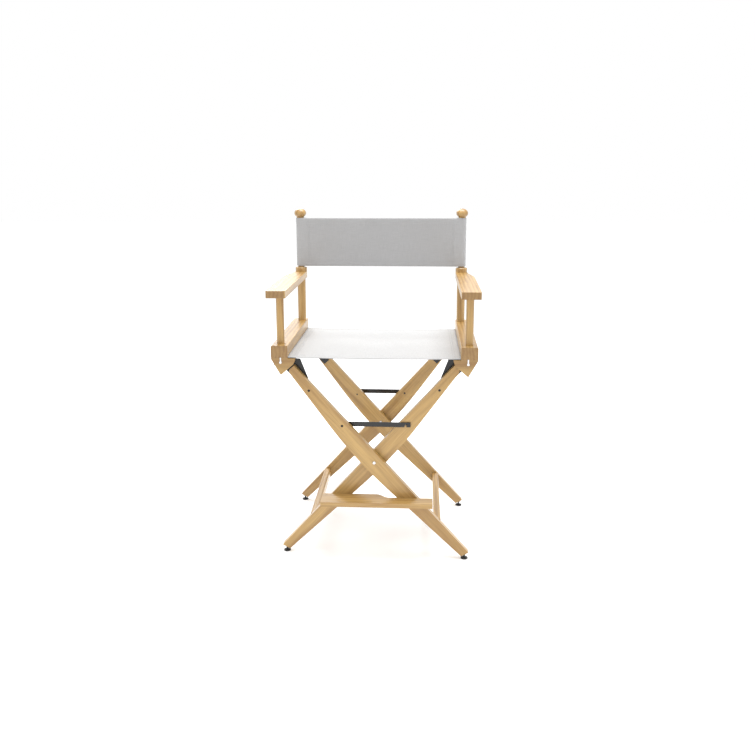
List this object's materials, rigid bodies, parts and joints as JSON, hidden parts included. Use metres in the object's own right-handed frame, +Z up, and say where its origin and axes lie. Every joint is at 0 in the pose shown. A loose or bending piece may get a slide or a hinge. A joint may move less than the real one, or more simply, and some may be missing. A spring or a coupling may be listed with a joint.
{
  "type": "folding director chair",
  "caption": "Counter-height folding director chair: crossed wooden legs, canvas seat and back, flat armrests, a lift-up footrest and black steel stays.",
  "frame": {"origin": "on the floor under the middle of the overall width and depth", "axes": "+Z up, -Y the way a sitter faces, +X to the right as seen from the front"},
  "size_m": [0.586, 0.4518, 0.9947],
  "materials": {
    "wood": "clear satin lacquer on golden hardwood",
    "seat_cloth": "pale grey cotton canvas, plain weave",
    "back_cloth": "pale grey cotton canvas, plain weave",
    "black_steel": "glossy black paint",
    "bright_steel": "bright plating",
    "dark_steel": "dark oxide",
    "black_plastic": "black moulded plastic"
  },
  "bodies": {
    "pivot_bolts": {"centre_bolts": "dark_steel", "centre_washers": "bright_steel"},
    "frame_a": {"leg_a_front": "wood", "leg_a_rear": "wood", "stretcher_a": "wood", "hinge_plate_a_front": "black_steel", "hinge_plate_a_rear": "black_steel", "plate_bolts_a": "black_steel", "front_stay_bolt": "black_steel", "rear_stay_stud": "black_steel", "footrest_bolt": "bright_steel"},
    "frame_b": {"leg_b_front": "wood", "leg_b_rear": "wood", "stretcher_b": "wood", "hinge_plate_b_front": "black_steel", "hinge_plate_b_rear": "black_steel", "plate_bolts_b": "black_steel", "front_stay_stud": "black_steel", "rear_stay_bolt": "black_steel", "footrest_peg": "dark_steel"},
    "left_arm": {"left_rail": "wood", "left_front_post": "wood", "left_rear_post": "wood", "left_armrest": "wood", "left_collar": "wood", "left_knob": "wood", "left_seat_dowel": "wood", "left_seat_hem": "seat_cloth", "left_back_sleeve": "back_cloth", "left_block_screws": "dark_steel", "left_hinge_bolts": "bright_steel", "left_hinge_clips": "bright_steel", "corner_block_a_front": "wood", "corner_block_a_rear": "wood"},
    "right_arm": {"right_rail": "wood", "right_front_post": "wood", "right_rear_post": "wood", "right_armrest": "wood", "right_collar": "wood", "right_knob": "wood", "right_seat_dowel": "wood", "right_seat_hem": "seat_cloth", "right_back_sleeve": "back_cloth", "right_block_screws": "dark_steel", "right_hinge_bolts": "bright_steel", "right_hinge_clips": "bright_steel", "corner_block_b_front": "wood", "corner_block_b_rear": "wood"},
    "seat_left": {"seat_canvas_left": "seat_cloth"},
    "back_left": {"back_canvas_left": "back_cloth"},
    "seat_right": {"seat_canvas_right": "seat_cloth"},
    "back_right": {"back_canvas_right": "back_cloth"},
    "footrest": {"footrest": "wood"},
    "front_stay": {"front_stay": "black_steel"},
    "rear_stay": {"rear_stay": "black_steel"},
    "glide_a_front": {"glide_a_front": "black_plastic"},
    "glide_a_rear": {"glide_a_rear": "black_plastic"},
    "glide_b_front": {"glide_b_front": "black_plastic"},
    "glide_b_rear": {"glide_b_rear": "black_plastic"}
  },
  "joints": [
    {"name": "fold", "type": "hinge", "parent": "pivot_bolts", "child": "frame_a", "pos_m": [0, 0.0181, 0.291], "axis": [0, 1, 0], "range_deg": [0, 34]},
    {"name": "fold_b", "type": "hinge", "parent": "pivot_bolts", "child": "frame_b", "pos_m": [0, 0.0181, 0.291], "axis": [0, 1, 0], "range_deg": [-35, 0]},
    {"name": "left_arm_hinge", "type": "hinge", "parent": "frame_a", "child": "left_arm", "pos_m": [-0.2627, 0.0181, 0.5846], "axis": [0, 1, 0], "range_deg": [-35, 0]},
    {"name": "right_arm_hinge", "type": "hinge", "parent": "frame_b", "child": "right_arm", "pos_m": [0.2627, 0.0181, 0.5846], "axis": [0, 1, 0], "range_deg": [0, 35]},
    {"name": "seat_left_fold", "type": "hinge", "parent": "left_arm", "child": "seat_left", "pos_m": [-0.2425, 0.0181, 0.60015], "axis": [0, 1, 0], "range_deg": [-83.08, 0], "deforming": ["seat_canvas_left"]},
    {"name": "seat_right_fold", "type": "hinge", "parent": "seat_left", "child": "seat_right", "pos_m": [0, 0.0181, 0.60015], "axis": [0, 1, 0], "range_deg": [0, 165.16], "deforming": ["seat_canvas_right"]},
    {"name": "back_left_fold", "type": "hinge", "parent": "left_arm", "child": "back_left", "pos_m": [-0.2582, 0.196, 0.9], "axis": [0, 0, 1], "range_deg": [0, 82.92], "deforming": ["back_canvas_left"]},
    {"name": "back_right_fold", "type": "hinge", "parent": "back_left", "child": "back_right", "pos_m": [0, 0.18305, 0.9], "axis": [0, 0, 1], "range_deg": [-164.84, 0], "deforming": ["back_canvas_right"]},
    {"name": "footrest_lift", "type": "hinge", "parent": "frame_a", "child": "footrest", "pos_m": [0.103, -0.1839, 0.17985], "axis": [0, 1, 0], "range_deg": [0, 14.6]},
    {"name": "front_stay_lift", "type": "hinge", "parent": "frame_a", "child": "front_stay", "pos_m": [-0.09137, -0.1839, 0.3995], "axis": [0, 1, 0], "range_deg": [-112.01, 0]},
    {"name": "rear_stay_lift", "type": "hinge", "parent": "frame_b", "child": "rear_stay", "pos_m": [0.07826, 0.2201, 0.385], "axis": [0, 1, 0], "range_deg": [0, 112.01]},
    {"name": "glide_a_front_swivel", "type": "hinge", "parent": "frame_a", "child": "glide_a_front", "pos_m": [0.2618, 0.0181, 0.0142], "axis": [0, 1, 0], "range_deg": [-35, 0]},
    {"name": "glide_a_rear_swivel", "type": "hinge", "parent": "frame_a", "child": "glide_a_rear", "pos_m": [0.2618, 0.0181, 0.0142], "axis": [0, 1, 0], "range_deg": [-35, 0]},
    {"name": "glide_b_front_swivel", "type": "hinge", "parent": "frame_b", "child": "glide_b_front", "pos_m": [-0.2618, 0.0181, 0.0142], "axis": [0, 1, 0], "range_deg": [0, 35]},
    {"name": "glide_b_rear_swivel", "type": "hinge", "parent": "frame_b", "child": "glide_b_rear", "pos_m": [-0.2618, 0.0181, 0.0142], "axis": [0, 1, 0], "range_deg": [0, 35]}
  ],
  "couplings": [
    {"joint": "fold_b", "follows": "fold", "ratio": -1},
    {"joint": "left_arm_hinge", "follows": "fold", "ratio": -1},
    {"joint": "right_arm_hinge", "follows": "fold", "ratio": 1},
    {"joint": "seat_left_fold", "follows": "fold", "ratio": -2.4141},
    {"joint": "seat_right_fold", "follows": "fold", "ratio": 4.8283},
    {"joint": "back_left_fold", "follows": "fold", "ratio": 2.4094},
    {"joint": "back_right_fold", "follows": "fold", "ratio": -4.8189},
    {"joint": "footrest_lift", "follows": "fold", "ratio": 0.4},
    {"joint": "front_stay_lift", "follows": "fold", "ratio": -3.265},
    {"joint": "rear_stay_lift", "follows": "fold", "ratio": 3.265},
    {"joint": "glide_a_front_swivel", "follows": "fold", "ratio": -1},
    {"joint": "glide_a_rear_swivel", "follows": "fold", "ratio": -1},
    {"joint": "glide_b_front_swivel", "follows": "fold", "ratio": 1},
    {"joint": "glide_b_rear_swivel", "follows": "fold", "ratio": 1}
  ]
}
